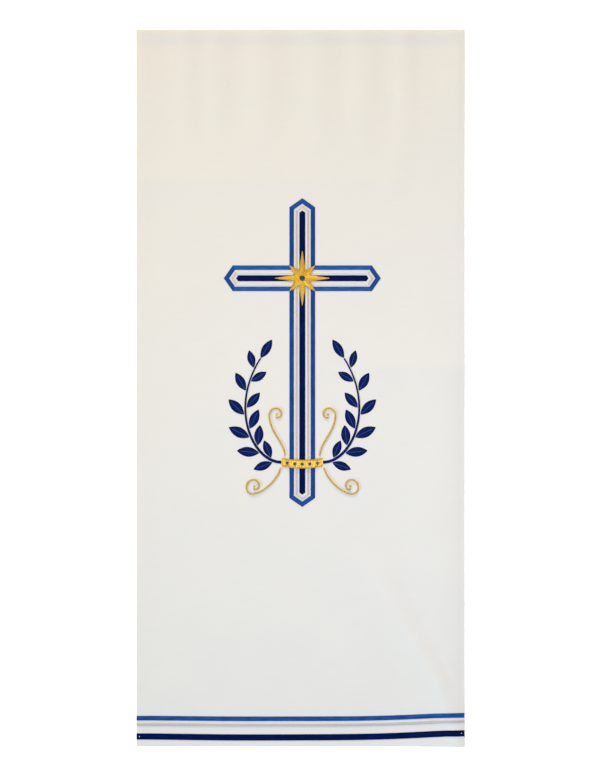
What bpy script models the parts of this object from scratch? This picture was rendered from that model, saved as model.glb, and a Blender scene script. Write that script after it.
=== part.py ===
# Ambo cloth: one hemmed length of cream cloth, laid out face up, with three border bands across its lower
# end and a sewn emblem on its upper half: a cross of ribbon, braid and ribbon, with a star where its arms
# meet and two leafy branches that a gold band ties to its foot.
# Metres. +X is the cloth's right, +Y its upper end, +Z up from the surface that it lies on.
# The origin is the middle of the cloth, on that surface.

import math

import bmesh
import bpy
import numpy as np

# The ground cloth. A hem is one more layer, turned under.
CLOTH_WIDTH = 0.550
CLOTH_LENGTH = 1.200
CLOTH_THICKNESS = 0.0015
HEM_WIDTH = 0.008
HEM_THICKNESS = 0.0023
HEM_SLOPE = 0.0015
CELL_WIDTH = 0.0120
CELL_LENGTH = 0.0240

# What is sewn on stands this far off what carries it.
GAP = 0.0003
RIBBON_THICKNESS = 0.0010
BRAID_THICKNESS = 0.0013
SATIN_THICKNESS = 0.0012
CORD_DIAMETER = 0.0024

HALF_WIDTH = CLOTH_WIDTH / 2
HALF_LENGTH = CLOTH_LENGTH / 2
SEWN_ON = CLOTH_THICKNESS + GAP

# The folds that the cloth lies in, as heights over the surface. Between them it lies flat.
# Ripples that run down from the upper end.
RIPPLES = (
    # x, half width, height, reach down from the upper end
    (-0.200, 0.034, 0.0010, 0.225),
    (-0.142, 0.028, 0.0012, 0.205),
    (-0.083, 0.034, 0.0013, 0.245),
    (0.004, 0.046, 0.0012, 0.240),
    (0.086, 0.038, 0.0014, 0.215),
    (0.163, 0.034, 0.0015, 0.235),
    (0.226, 0.030, 0.0012, 0.205),
)
# Storage creases, each a soft ridge across part of the width.
CREASES = (
    # y, from x, to x, height, half width
    (0.343, -0.290, 0.175, 0.0008, 0.013),
    (0.035, 0.125, 0.290, 0.0008, 0.013),
    (-0.192, -0.290, -0.110, 0.0007, 0.013),
)
CREASE_FADE = 0.035
# A drag fold that runs down to the lower right corner, by its crest.
DRAG_FOLD = (
    # y, x, height, half width to the left, half width to the right
    (-0.600, 0.238, 0.0034, 0.095, 0.040),
    (-0.530, 0.222, 0.0031, 0.092, 0.050),
    (-0.450, 0.186, 0.0024, 0.085, 0.055),
    (-0.330, 0.126, 0.0013, 0.075, 0.060),
    (-0.240, 0.094, 0.0000, 0.065, 0.060),
)
# The roll just inside the upper end, and the one along the right side.
TOP_ROLL = {"y": 0.578, "height": 0.0013, "half_width": 0.024}
SIDE_ROLL = {"x": 0.250, "height": 0.0008, "half_width": 0.022}

# The border bands, by the height of their middle line over the lower end.
BORDER = (
    # name, height over the lower end, width, thickness, colour
    ("border_blue", 0.0470, 0.0075, RIBBON_THICKNESS, "blue"),
    ("border_silver", 0.0366, 0.0060, BRAID_THICKNESS, "silver"),
    ("border_navy", 0.0166, 0.0098, RIBBON_THICKNESS, "navy"),
)
BORDER_END = 0.0005
BORDER_ROWS = (0.020, 0.032, 0.043, 0.055)
# The bands sag a little across the width and rise to the right.
BAND_BOW = (
    # x, rise
    (-0.275, 0.0000),
    (-0.150, -0.0013),
    (0.000, -0.0016),
    (0.110, -0.0006),
    (0.165, 0.0012),
    (0.210, 0.0032),
    (0.250, 0.0056),
    (0.275, 0.0064),
)

# The cross, measured from where its arms meet. Each arm ends in a point.
CROSS_X = 0.003
CROSS_Y = 0.184
ARM_UP = 0.134
ARM_SIDE = 0.1315
ARM_DOWN = 0.383
POINT_SLOPE = 0.70
OUTLINE = {"half": 0.0215, "width": 0.0075, "drawn_in": 0.0}
BRAID = {"half": 0.0113, "width": 0.0032, "drawn_in": 0.0124}
CORE = {"half": 0.0050, "drawn_in": 0.0205}

# The star lies on the ribbons where the arms meet, and a stone on its hub.
STAR_RAYS = 8
STAR_LONG = 0.0450
STAR_SHORT = 0.0298
STAR_WAIST = 0.0132
STAR_HUB = 0.0062
STAR_EDGE = 0.0006
STAR_RISE = 0.0012
STAR_BASE = SEWN_ON + BRAID_THICKNESS + GAP
STONE_RADIUS = 0.0045
STONE_TABLE = 0.0026
STONE_HEIGHT = 0.0014

# The gold band and what it ties, by distance from the cross's middle line and by height y on the cloth.
TIE = {
    "y": -0.1240,
    "half_width": 0.0345,
    "half_height": 0.0070,
    "sag": 0.0032,
    "ramp": 0.0060,
    "columns": 25,
}
BRANCH = ((0.0350, -0.1240), (0.0820, -0.1240), (0.1240, -0.0350), (0.0700, 0.0500))
BRANCH_POINTS = 61
STEM_WIDTH = (0.0050, 0.0024)
STEM_EVERY = 5
LEAVES = (
    # place along the branch, side, length, width
    (0.095, 1, 0.033, 0.0145),
    (0.140, -1, 0.031, 0.0140),
    (0.265, 1, 0.037, 0.0165),
    (0.325, -1, 0.034, 0.0155),
    (0.435, 1, 0.038, 0.0170),
    (0.500, -1, 0.035, 0.0155),
    (0.610, 1, 0.036, 0.0160),
    (0.675, -1, 0.033, 0.0145),
    (0.785, 1, 0.034, 0.0150),
    (0.855, -1, 0.030, 0.0135),
    (0.940, 1, 0.030, 0.0130),
    (1.000, 0, 0.036, 0.0145),
)
LEAF_ANGLE = math.radians(41)
LEAF_POINTS = 9
LEAF_FULLNESS = 0.80
LEAF_OFF_STEM = 0.0006

# Each tendril runs out from the band and ends in a curl.
TENDRILS = {
    "lower": {
        "route": ((0.0360, -0.1325), (0.0440, -0.1640), (0.0935, -0.1960), (0.0935, -0.1640)),
        "curl_start": 0.0130,
        "curl_end": 0.0050,
    },
    "upper": {
        "route": ((0.0290, -0.1140), (0.0290, -0.0900), (0.0555, -0.0740), (0.0555, -0.0440)),
        "curl_start": 0.0125,
        "curl_end": 0.0050,
    },
}
CURL_TURN = math.radians(290)
TENDRIL_POINTS = 16

COLOURS = {
    # base colour, roughness, metallic
    "cream": ((0.80, 0.77, 0.70), 0.85, 0.0),
    "blue": ((0.024, 0.090, 0.330), 0.55, 0.0),
    "navy": ((0.003, 0.009, 0.070), 0.55, 0.0),
    "silver": ((0.62, 0.58, 0.55), 0.40, 0.3),
    "gold": ((0.66, 0.40, 0.05), 0.40, 0.4),
    "teal": ((0.006, 0.060, 0.075), 0.10, 0.0),
}


def clear_scene():
    for old in list(bpy.data.objects):
        bpy.data.objects.remove(old, do_unlink=True)


def make_collection(name):
    made = bpy.data.collections.new(name)
    bpy.context.scene.collection.children.link(made)
    return made


def make_materials():
    made = {}
    for name, (colour, roughness, metallic) in COLOURS.items():
        material = bpy.data.materials.new(name)
        material.use_nodes = True
        shader = material.node_tree.nodes["Principled BSDF"]
        shader.inputs["Base Color"].default_value = (*colour, 1.0)
        shader.inputs["Roughness"].default_value = roughness
        shader.inputs["Metallic"].default_value = metallic
        made[name] = material
    return made


def finish(obj, collection, material):
    for linked in list(obj.users_collection):
        linked.objects.unlink(obj)
    collection.objects.link(obj)
    obj.data.materials.clear()
    obj.data.materials.append(material)


def hump(distance, half_width):
    """A smooth bump: 1 where distance is 0, and 0 from half_width on."""
    share = np.clip(np.abs(distance) / half_width, 0.0, 1.0)
    return np.cos(share * math.pi / 2) ** 2


def smooth(share):
    """0 up to a share of 0, 1 from a share of 1, and a smooth step between them."""
    held = np.clip(share, 0.0, 1.0)
    return held * held * (3 - 2 * held)


def drag_fold_height(x, y):
    """The fold's height, from its crest line read at y."""
    ys, xs, heights, lefts, rights = np.array(DRAG_FOLD).T
    crest = np.interp(y, ys, xs)
    height = np.interp(y, ys, heights)
    half_width = np.where(x < crest, np.interp(y, ys, lefts), np.interp(y, ys, rights))
    return height * hump(x - crest, half_width)


def relief(x, y):
    """How high the cloth's underside lies over the surface at x, y."""
    from_top = HALF_LENGTH - y
    ripples = 0.0
    for centre, half_width, height, reach in RIPPLES:
        ripples = ripples + height * hump(x - centre, half_width) * smooth(1 - from_top / reach)
    creases = 0.0
    for line, x_from, x_to, height, half_width in CREASES:
        ends = smooth((x - x_from) / CREASE_FADE) * smooth((x_to - x) / CREASE_FADE)
        creases = creases + height * ends * hump(y - line, half_width)
    top_roll = TOP_ROLL["height"] * hump(y - TOP_ROLL["y"], TOP_ROLL["half_width"])
    side_roll = SIDE_ROLL["height"] * hump(x - SIDE_ROLL["x"], SIDE_ROLL["half_width"])
    return ripples + creases + top_roll + np.maximum(side_roll, drag_fold_height(x, y))


def in_hem(x, y):
    """Whether a point of the grid lies on the turned hem."""
    edge = 1e-6
    return HALF_WIDTH - abs(x) < HEM_WIDTH + edge or HALF_LENGTH - abs(y) < HEM_WIDTH + edge


def face_height(x, y):
    """The height of the cloth's upper face at x, y."""
    return float(relief(x, y)) + (HEM_THICKNESS if in_hem(x, y) else CLOTH_THICKNESS)


def grid_lines(half, cell, extra=()):
    """Lines from edge to edge: two at each hem, even cells between the hems, and the extra lines."""
    inner = half - HEM_WIDTH - HEM_SLOPE
    even = np.linspace(-inner, inner, round(2 * inner / cell) + 1)
    near = cell * 0.3
    kept = [line for line in even[1:-1] if all(abs(line - other) > near for other in extra)]
    edges = [side * line for side in (-1, 1) for line in (half, half - HEM_WIDTH, inner)]
    return sorted([*edges, *kept, *extra])


def cloth_columns():
    return grid_lines(HALF_WIDTH, CELL_WIDTH)


def cloth_rows():
    creases = [line + side * half_width for line, _, _, _, half_width in CREASES for side in (-1, 0, 1)]
    border = [height - HALF_LENGTH for height in BORDER_ROWS]
    roll = [TOP_ROLL["y"] - TOP_ROLL["half_width"], TOP_ROLL["y"]]
    return grid_lines(HALF_LENGTH, CELL_LENGTH, creases + border + roll)


def grid_sheet(name, columns, rows, place):
    """An open sheet: a grid whose point in each column and row goes to place(column, row)."""
    bpy.ops.mesh.primitive_grid_add(x_subdivisions=len(columns) - 1, y_subdivisions=len(rows) - 1, size=2)
    sheet = bpy.context.active_object
    sheet.name = name
    sheet.data.name = name
    for vertex in sheet.data.vertices:
        i = round((vertex.co.x + 1) / 2 * (len(columns) - 1))
        j = round((vertex.co.y + 1) / 2 * (len(rows) - 1))
        vertex.co = place(columns[i], rows[j])
    return sheet


def thicken(sheet, thickness):
    """Gives a sheet its thickness upwards, so that the sheet itself stays as the underside."""
    modifier = sheet.modifiers.new("Thickness", "SOLIDIFY")
    modifier.thickness = thickness
    modifier.offset = 1.0
    return modifier


def flat_piece(name, outlines, thickness):
    """A flat piece on the cloth, cut to its outline. A second outline is a hole."""
    curve = bpy.data.curves.new(name, "CURVE")
    curve.dimensions = "2D"
    curve.fill_mode = "BOTH"
    curve.extrude = thickness / 2
    for outline in outlines:
        spline = curve.splines.new("POLY")
        spline.points.add(len(outline) - 1)
        for point, (x, y) in zip(spline.points, outline):
            point.co = (x, y, 0.0, 1.0)
        spline.use_cyclic_u = True
    piece = bpy.data.objects.new(name, curve)
    piece.location.z = SEWN_ON + thickness / 2
    bpy.context.scene.collection.objects.link(piece)
    return piece


def ground_cloth(collection, material):
    """The hemmed cloth in its folds. Its hem is thicker by one layer."""
    sheet = grid_sheet("ground_cloth", cloth_columns(), cloth_rows(), lambda x, y: (x, y, relief(x, y)))
    hem = sheet.vertex_groups.new(name="hem")
    hem.add([v.index for v in sheet.data.vertices if in_hem(v.co.x, v.co.y)], 1.0, "REPLACE")
    modifier = thicken(sheet, HEM_THICKNESS)
    modifier.vertex_group = hem.name
    modifier.thickness_vertex_group = CLOTH_THICKNESS / HEM_THICKNESS
    finish(sheet, collection, material)


def border_band(name, height, width, thickness, collection, material):
    """One band across the lower end, which follows the cloth's folds and side hems."""
    end = HALF_WIDTH - BORDER_END
    columns = [-end, *cloth_columns()[1:-1], end]
    bow_xs, bow_rises = np.array(BAND_BOW).T

    def place(x, side):
        y = height - HALF_LENGTH + np.interp(x, bow_xs, bow_rises) + side * width / 2
        return (x, y, face_height(x, y) + GAP)

    sheet = grid_sheet(name, columns, [-1.0, 1.0], place)
    thicken(sheet, thickness)
    finish(sheet, collection, material)


def cross_shape(half, drawn_in):
    """The outline of a Latin cross of half-width half, its four points drawn in by drawn_in."""
    up, side, down = ARM_UP - drawn_in, ARM_SIDE - drawn_in, ARM_DOWN - drawn_in
    point = half * POINT_SLOPE
    right = [
        (0.0, up),
        (half, up - point),
        (half, half),
        (side - point, half),
        (side, 0.0),
        (side - point, -half),
        (half, -half),
        (half, point - down),
        (0.0, -down),
    ]
    left = [(-x, y) for x, y in right[-2:0:-1]]
    return [(CROSS_X + x, CROSS_Y + y) for x, y in right + left]


def cross_ring(name, sizes, thickness, collection, material):
    """A ribbon of one width that follows the cross's outline, with mitred corners."""
    half, width, drawn_in = sizes["half"], sizes["width"], sizes["drawn_in"]
    mitre = width * math.hypot(1.0, POINT_SLOPE)
    outlines = [cross_shape(half, drawn_in), cross_shape(half - width, drawn_in + mitre)]
    finish(flat_piece(name, outlines, thickness), collection, material)


def star(collection, material):
    """A low star with ridges from its hub to its points: a blunt cone, its rim drawn in and out."""
    made = bmesh.new()
    bmesh.ops.create_cone(
        made,
        cap_ends=True,
        segments=2 * STAR_RAYS,
        radius1=STAR_LONG,
        radius2=STAR_HUB,
        depth=STAR_RISE,
    )
    for vertex in made.verts:
        if vertex.co.z < 0:
            step = round(math.atan2(vertex.co.y, vertex.co.x) / (math.pi / STAR_RAYS))
            radius = STAR_WAIST if step % 2 else (STAR_LONG if step % 4 == 0 else STAR_SHORT)
            vertex.co.xy = vertex.co.xy.normalized() * radius
    base = [face for face in made.faces if all(vertex.co.z < 0 for vertex in face.verts)]
    rim = bmesh.ops.extrude_face_region(made, geom=base)["geom"]
    lowered = [item for item in rim if isinstance(item, bmesh.types.BMVert)]
    bmesh.ops.translate(made, vec=(0.0, 0.0, -STAR_EDGE), verts=lowered)
    bmesh.ops.delete(made, geom=base, context="FACES_ONLY")
    bmesh.ops.recalc_face_normals(made, faces=made.faces)
    mesh = bpy.data.meshes.new("star")
    made.to_mesh(mesh)
    made.free()
    placed = bpy.data.objects.new("star", mesh)
    placed.location = (CROSS_X, CROSS_Y, STAR_BASE + STAR_EDGE + STAR_RISE / 2)
    bpy.context.scene.collection.objects.link(placed)
    finish(placed, collection, material)


def star_stone(collection, material):
    """A round stone with a flat table on the star's hub."""
    bpy.ops.mesh.primitive_cone_add(
        vertices=16,
        radius1=STONE_RADIUS,
        radius2=STONE_TABLE,
        depth=STONE_HEIGHT,
        location=(CROSS_X, CROSS_Y, STAR_BASE + STAR_EDGE + STAR_RISE + GAP + STONE_HEIGHT / 2),
    )
    made = bpy.context.active_object
    made.name = "star_stone"
    finish(made, collection, material)


def tie_band(collection, material):
    """The gold band. It passes over the cross's ribbons and comes down to the cloth beside them."""
    half_width = TIE["half_width"]
    columns = np.linspace(-half_width, half_width, TIE["columns"])

    def place(x, side):
        over = smooth(1 - (abs(x) - OUTLINE["half"] - GAP) / TIE["ramp"])
        y = TIE["y"] - TIE["sag"] * (1 - (x / half_width) ** 2) + side * TIE["half_height"]
        return (CROSS_X + x, y, SEWN_ON + float(over) * (BRAID_THICKNESS + GAP))

    sheet = grid_sheet("tie_band", columns, [-1.0, 1.0], place)
    thicken(sheet, SATIN_THICKNESS)
    finish(sheet, collection, material)


def bezier(points, count):
    """Points along the cubic curve through its two ends, drawn towards its two handles."""
    a, b, c, d = (np.array(point) for point in points)
    t = np.linspace(0.0, 1.0, count)[:, None]
    return (1 - t) ** 3 * a + 3 * t * (1 - t) ** 2 * b + 3 * t**2 * (1 - t) * c + t**3 * d


def branch_line():
    """The stem's middle line and its unit direction at each point."""
    line = bezier(BRANCH, BRANCH_POINTS)
    steps = np.gradient(line, axis=0)
    return line, steps / np.linalg.norm(steps, axis=1)[:, None]


def right_of(direction):
    return np.stack([direction[..., 1], -direction[..., 0]], axis=-1)


def on_side(outline, mirror):
    """The outline beside the cross, on its right for a mirror of 1 and on its left for -1."""
    return [(CROSS_X + mirror * float(x), float(y)) for x, y in outline]


def stem_shape():
    """The stem, which tapers from the band to its tip leaf."""
    line, heading = branch_line()
    line, heading = line[::STEM_EVERY], heading[::STEM_EVERY]
    half = np.linspace(*STEM_WIDTH, len(line))[:, None] / 2
    return [*(line + half * right_of(heading)), *(line - half * right_of(heading))[::-1]]


def leaf_shape(place, side, length, width):
    """A leaf with a point at each end. It starts just off the stem, which it leaves at the leaf angle."""
    line, heading = branch_line()
    i = round(place * (BRANCH_POINTS - 1))
    root, direction = line[i], heading[i]
    turn = -side * LEAF_ANGLE
    along = np.array([
        direction[0] * math.cos(turn) - direction[1] * math.sin(turn),
        direction[0] * math.sin(turn) + direction[1] * math.cos(turn),
    ])
    stem_half = np.interp(place, (0.0, 1.0), STEM_WIDTH) / 2
    root = root + side * (stem_half + LEAF_OFF_STEM) * right_of(direction) + LEAF_OFF_STEM * along
    share = np.linspace(0.0, 1.0, LEAF_POINTS)
    half = width / 2 * np.sin(math.pi * share) ** LEAF_FULLNESS
    half[[0, -1]] = 0.0
    middle = root + np.outer(share * length, along)
    right = middle + half[:, None] * right_of(along)
    left = middle - half[:, None] * right_of(along)
    return [*right, *left[-2:0:-1]]


def tendril_line(sizes):
    """Out from the band, then round in a curl that closes in on itself."""
    sweep = bezier(sizes["route"], TENDRIL_POINTS)
    centre = sweep[-1] - np.array([sizes["curl_start"], 0.0])
    angle = np.linspace(0.0, CURL_TURN, TENDRIL_POINTS)[1:, None]
    radius = np.linspace(sizes["curl_start"], sizes["curl_end"], TENDRIL_POINTS)[1:, None]
    curl = centre + radius * np.hstack([np.cos(angle), np.sin(angle)])
    return [*sweep, *curl]


def tendril(name, line, collection, material):
    curve = bpy.data.curves.new(name, "CURVE")
    curve.dimensions = "3D"
    curve.bevel_depth = CORD_DIAMETER / 2
    curve.bevel_resolution = 1
    curve.use_fill_caps = True
    spline = curve.splines.new("POLY")
    spline.points.add(len(line) - 1)
    for point, (x, y) in zip(spline.points, line):
        point.co = (x, y, 0.0, 1.0)
    made = bpy.data.objects.new(name, curve)
    made.location.z = SEWN_ON + CORD_DIAMETER / 2
    bpy.context.scene.collection.objects.link(made)
    finish(made, collection, material)


def main():
    clear_scene()
    parts = make_collection("ambo_cloth")
    materials = make_materials()

    ground_cloth(parts, materials["cream"])
    for name, height, width, thickness, colour in BORDER:
        border_band(name, height, width, thickness, parts, materials[colour])

    cross_ring("cross_outline", OUTLINE, RIBBON_THICKNESS, parts, materials["blue"])
    cross_ring("cross_braid", BRAID, BRAID_THICKNESS, parts, materials["silver"])
    core = flat_piece("cross_core", [cross_shape(CORE["half"], CORE["drawn_in"])], RIBBON_THICKNESS)
    finish(core, parts, materials["navy"])
    star(parts, materials["gold"])
    star_stone(parts, materials["teal"])
    tie_band(parts, materials["gold"])

    for side, mirror in (("right", 1), ("left", -1)):
        stem = flat_piece(f"stem_{side}", [on_side(stem_shape(), mirror)], SATIN_THICKNESS)
        finish(stem, parts, materials["navy"])
        for number, row in enumerate(LEAVES, start=1):
            leaf = flat_piece(f"leaf_{side}_{number}", [on_side(leaf_shape(*row), mirror)], SATIN_THICKNESS)
            finish(leaf, parts, materials["navy"])
        for place, sizes in TENDRILS.items():
            line = on_side(tendril_line(sizes), mirror)
            tendril(f"tendril_{place}_{side}", line, parts, materials["gold"])


main()
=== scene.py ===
# Ambo cloth: a hemmed length of cream cloth, laid out face up, with its ribbons, braids and embroidery.
# Metres. +X is the cloth's right, +Y its upper end and +Z up. The cloth lies on z = 0.

import math
import bmesh
import bpy
import numpy as np
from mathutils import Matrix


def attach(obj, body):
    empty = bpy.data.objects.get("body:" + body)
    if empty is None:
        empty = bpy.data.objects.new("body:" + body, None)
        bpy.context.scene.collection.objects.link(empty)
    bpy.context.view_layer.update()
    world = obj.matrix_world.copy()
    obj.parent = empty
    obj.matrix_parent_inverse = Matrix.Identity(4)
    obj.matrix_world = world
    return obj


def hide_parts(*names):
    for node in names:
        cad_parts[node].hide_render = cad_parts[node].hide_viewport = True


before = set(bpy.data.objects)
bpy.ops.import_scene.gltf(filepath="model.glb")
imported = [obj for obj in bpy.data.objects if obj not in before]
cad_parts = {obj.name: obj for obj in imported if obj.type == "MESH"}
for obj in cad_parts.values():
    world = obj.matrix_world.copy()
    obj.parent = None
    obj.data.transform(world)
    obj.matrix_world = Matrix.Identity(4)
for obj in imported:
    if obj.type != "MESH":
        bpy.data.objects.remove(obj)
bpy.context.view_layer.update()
random = np.random.default_rng(31)
print("frame loaded:", len(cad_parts), "nodes")


# Small tools

def linearColour(hexText):
    # An sRGB colour such as "#2b5ca1" as linear values: the sRGB curve undone for each channel
    values = np.array([int(hexText[i:i + 2], 16) for i in (1, 3, 5)]) / 255
    low, high = values / 12.92, ((values + 0.055) / 1.055) ** 2.4
    return (*np.where(values <= 0.04045, low, high).tolist(), 1.0)


def joinUp(tree, node, links):
    # Links into a node's sockets, as socket: (other node, output)
    for key, (other, output) in links.items():
        tree.links.new(other.outputs[output], node.inputs[key])


def addNode(tree, kind, settings=None, links=None):
    # A node with its values by socket or property, and its links as socket: (other node, output)
    node = tree.nodes.new(kind)
    for key, value in (settings or {}).items():
        if isinstance(key, int) or key in node.inputs:
            node.inputs[key].default_value = value
        else:
            setattr(node, key, value)
    joinUp(tree, node, links or {})
    return node


def startMaterial(name, values):
    # A material whose shader has these values on its own sockets
    material = bpy.data.materials.new(name)
    material.use_nodes = True
    shader = material.node_tree.nodes["Principled BSDF"]
    for socket, value in values.items():
        shader.inputs[socket].default_value = value
    return material, material.node_tree, shader


def fillRamp(node, stops):
    # A ramp of colours, by place and sRGB colour
    ramp, stops = node.color_ramp, list(stops)
    while len(ramp.elements) < len(stops):
        ramp.elements.new(0.5)
    for element, (place, hexText) in zip(ramp.elements, stops):
        element.position = place
        element.color = linearColour(hexText)


def waveScale(pitch):
    # A wave texture at scale 1 has a band every pi / 10
    return math.pi / 10 / pitch


def hump(distance, halfWidth):
    # cos squared: 1 in the middle, 0 from halfWidth on
    return np.cos(np.clip(np.abs(distance) / halfWidth, 0, 1) * math.pi / 2) ** 2


def peak(distance, reach):
    # (1 - d)^2: a sharp crest whose flanks run out level
    return (1 - np.clip(np.abs(distance) / reach, 0, 1)) ** 2


def smooth(share):
    # 3t^2 - 2t^3 between 0 and 1
    held = np.clip(share, 0, 1)
    return held * held * (3 - 2 * held)


def shoulder(inset, radius, power=2):
    # A quarter circle that rises from 0 at an edge to 1 at radius inside it. A higher power is squarer
    return (1 - (1 - np.clip(inset / radius, 0, 1)) ** power) ** (1 / power)


def stacked(*values):
    # Values whose shapes fit together, side by side along a new last axis
    return np.stack(np.broadcast_arrays(*values), -1)


def rightOf(heading):
    return stacked(heading[..., 1], -heading[..., 0])


def bothSides(places):
    # Places from 0 outwards, with the same ones to the left of 0 before them
    places = np.array(places)
    return np.concatenate([-places[:0:-1], places])


def gridQuads(rows, columns, closedRows=False, closedColumns=False):
    # One face for each cell of a grid. A closed grid has cells from its last line back to its first
    k = np.arange(rows if closedRows else rows - 1)[:, None]
    j = np.arange(columns if closedColumns else columns - 1)[None, :]
    row, nextRow, nextJ = k * columns, (k + 1) % rows * columns, (j + 1) % columns
    return stacked(row + j, row + nextJ, nextRow + nextJ, nextRow + j).reshape(-1, 4)


def halvedCorners(quads, columns):
    # A grid's corner cells, halved from their corner inwards, so that neither half lies flat on an edge
    cells = (0, columns - 2, len(quads) - 1, len(quads) - columns + 1)
    halves = []
    for corner, cell in enumerate(cells):
        a, b, c, d = np.roll(quads[cell], -corner).tolist()
        halves += [[a, b, c], [a, c, d]]
    return np.delete(quads, cells, 0), halves


def stripShell(points, lie, closedEnds=True):
    # A grid as the upper face, its columns from left to right. The underside is one cell wide
    rows, columns = points.shape[:2]
    left = np.arange(rows) * columns
    right = left + columns - 1
    top, under = gridQuads(rows, columns), stacked(left[:-1], left[1:], right[1:], right[:-1])
    ends = []
    if closedEnds:
        under = under[1:-1]
        first, last = list(range(columns)), list(range((rows - 1) * columns, rows * columns))
        top, halves = halvedCorners(top, columns)
        ends = [[*first[::-1], int(left[1]), int(right[1])], [int(left[-2]), *last, int(right[-2])], *halves]
    return points.reshape(-1, 3), np.concatenate([top, under]), ends, lie.reshape(-1, 2)


def headings(line, looped=False):
    # Unit directions along a line of points
    if looped:
        steps = np.roll(line, -1, 0) - np.roll(line, 1, 0)
    else:
        steps = np.gradient(line, axis=0)
    return steps / np.linalg.norm(steps, axis=1)[:, None]


def evenly(line, step, looped=False):
    # The same line with its points an even step apart, and how far along each one is
    closed = np.concatenate([line, line[:1]]) if looped else line
    lengths = np.concatenate([[0], np.cumsum(np.linalg.norm(np.diff(closed, axis=0), axis=1))])
    count = max(3, round(lengths[-1] / step))
    places = np.linspace(0, lengths[-1], count + 1)[:count if looped else count + 1]
    return np.stack([np.interp(places, lengths, closed[:, i]) for i in range(line.shape[1])], -1), places


def tubeShell(line, radius, sides, looped=False):
    # A ring round each point of a nearly level line. A radius of 0 closes an end
    radius = np.broadcast_to(radius, len(line))
    flat = headings(line[:, :2], looped)
    side = np.concatenate([rightOf(flat), np.zeros((len(line), 1))], -1)
    angle = np.linspace(0, 2 * math.pi, sides, endpoint=False)
    around = side[:, None] * np.cos(angle)[:, None] - np.array([0, 0, 1]) * np.sin(angle)[:, None]
    points = line[:, None] + radius[:, None, None] * around
    along = np.concatenate([[0], np.cumsum(np.linalg.norm(np.diff(line, axis=0), axis=1))])
    lie = stacked(along[:, None], angle * radius.max())
    quads = gridQuads(len(line), sides, closedRows=looped, closedColumns=True)
    return points.reshape(-1, 3), quads, [], lie.reshape(-1, 2)


winding = {
    "plies": 2,
    "stepsPerTurn": 9,
    "swell": 1.08,  # a ply is a little thicker than half the cord, so that the plies press together
    "endSteps": 3,
    "ringPitch": 2.2,  # of a small ring's cord, as a share of its diameter
    "ringPoints": 60,
}


def taperedEnds(count, radius):
    # An even radius that rounds off to 0 over the last few points at both ends
    place = np.minimum(np.arange(count), np.arange(count)[::-1])
    return radius * shoulder(place, winding["endSteps"])


def twistedCord(line, diameter, pitch, sides=6, looped=False):
    # Plies wound round a line: each one's middle is a helix of a quarter of the diameter
    path, along = evenly(line, pitch / winding["stepsPerTurn"], looped)
    if looped:  # a whole number of turns, so that the ends meet
        total = along[-1] + along[1]
        pitch = total / round(total / pitch)
    side = np.concatenate([rightOf(headings(path[:, :2], looped)), np.zeros((len(path), 1))], -1)
    radius = diameter / 4
    thick = radius * winding["swell"]
    if not looped:
        thick = taperedEnds(len(path), thick)
    shells = []
    for ply in range(winding["plies"]):
        turn = 2 * math.pi * (along / pitch + ply / winding["plies"])
        wound = path + radius * (side * np.cos(turn)[:, None] + np.array([0, 0, 1]) * np.sin(turn)[:, None])
        shells.append(tubeShell(wound, thick, sides, looped))
    return joinShells(shells)


def joinShells(shells):
    # Several shells as one
    points, quads, ends, lies, offset = [], [], [], [], 0
    for shellPoints, shellQuads, shellEnds, lie in shells:
        points.append(shellPoints)
        quads.append(shellQuads + offset)
        ends += [[int(i) + offset for i in face] for face in shellEnds]
        lies.append(lie)
        offset += len(shellPoints)
    return np.concatenate(points), np.concatenate(quads), ends, np.concatenate(lies)


def addPiece(name, shell, material, replaced=(), sharpAngle=50):
    # A shell as a finished piece, with its material by key. Points that coincide are merged, which
    # closes seams and poles
    weldDistance = 2e-6
    points, quads, ends, lie = shell
    mesh = bpy.data.meshes.new(name)
    mesh.from_pydata(points.tolist(), [], quads.tolist() + ends)
    corners = np.empty(len(mesh.loops), np.int32)
    mesh.loops.foreach_get("vertex_index", corners)
    layer = mesh.uv_layers.new(name="lie")  # metres along the piece and across it
    layer.data.foreach_set("uv", lie[corners].astype(np.float32).ravel())
    welded = bmesh.new()
    welded.from_mesh(mesh)
    bmesh.ops.remove_doubles(welded, verts=welded.verts, dist=weldDistance)
    welded.to_mesh(mesh)
    welded.free()
    mesh.shade_smooth()
    mesh.set_sharp_from_angle(angle=math.radians(sharpAngle))
    mesh.materials.append(materials[material])
    piece = bpy.data.objects.new(name, mesh)
    bpy.context.scene.collection.objects.link(piece)
    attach(piece, "root")
    if replaced:
        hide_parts(*replaced)
    return piece


# Materials

def drawnNoise(tree, vector, scale, detail, stops):
    # Noise drawn out by a scale for each axis, and the ramp of colours that it goes through
    stretched = addNode(tree, "ShaderNodeMapping", {"Scale": scale}, {"Vector": vector})
    noise = addNode(tree, "ShaderNodeTexNoise", {"Scale": 1.0, "Detail": detail},
                    {"Vector": (stretched, "Vector")})
    ramp = addNode(tree, "ShaderNodeValToRGB", None, {"Fac": (noise, "Fac")})
    fillRamp(ramp, stops)
    return noise, ramp


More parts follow.
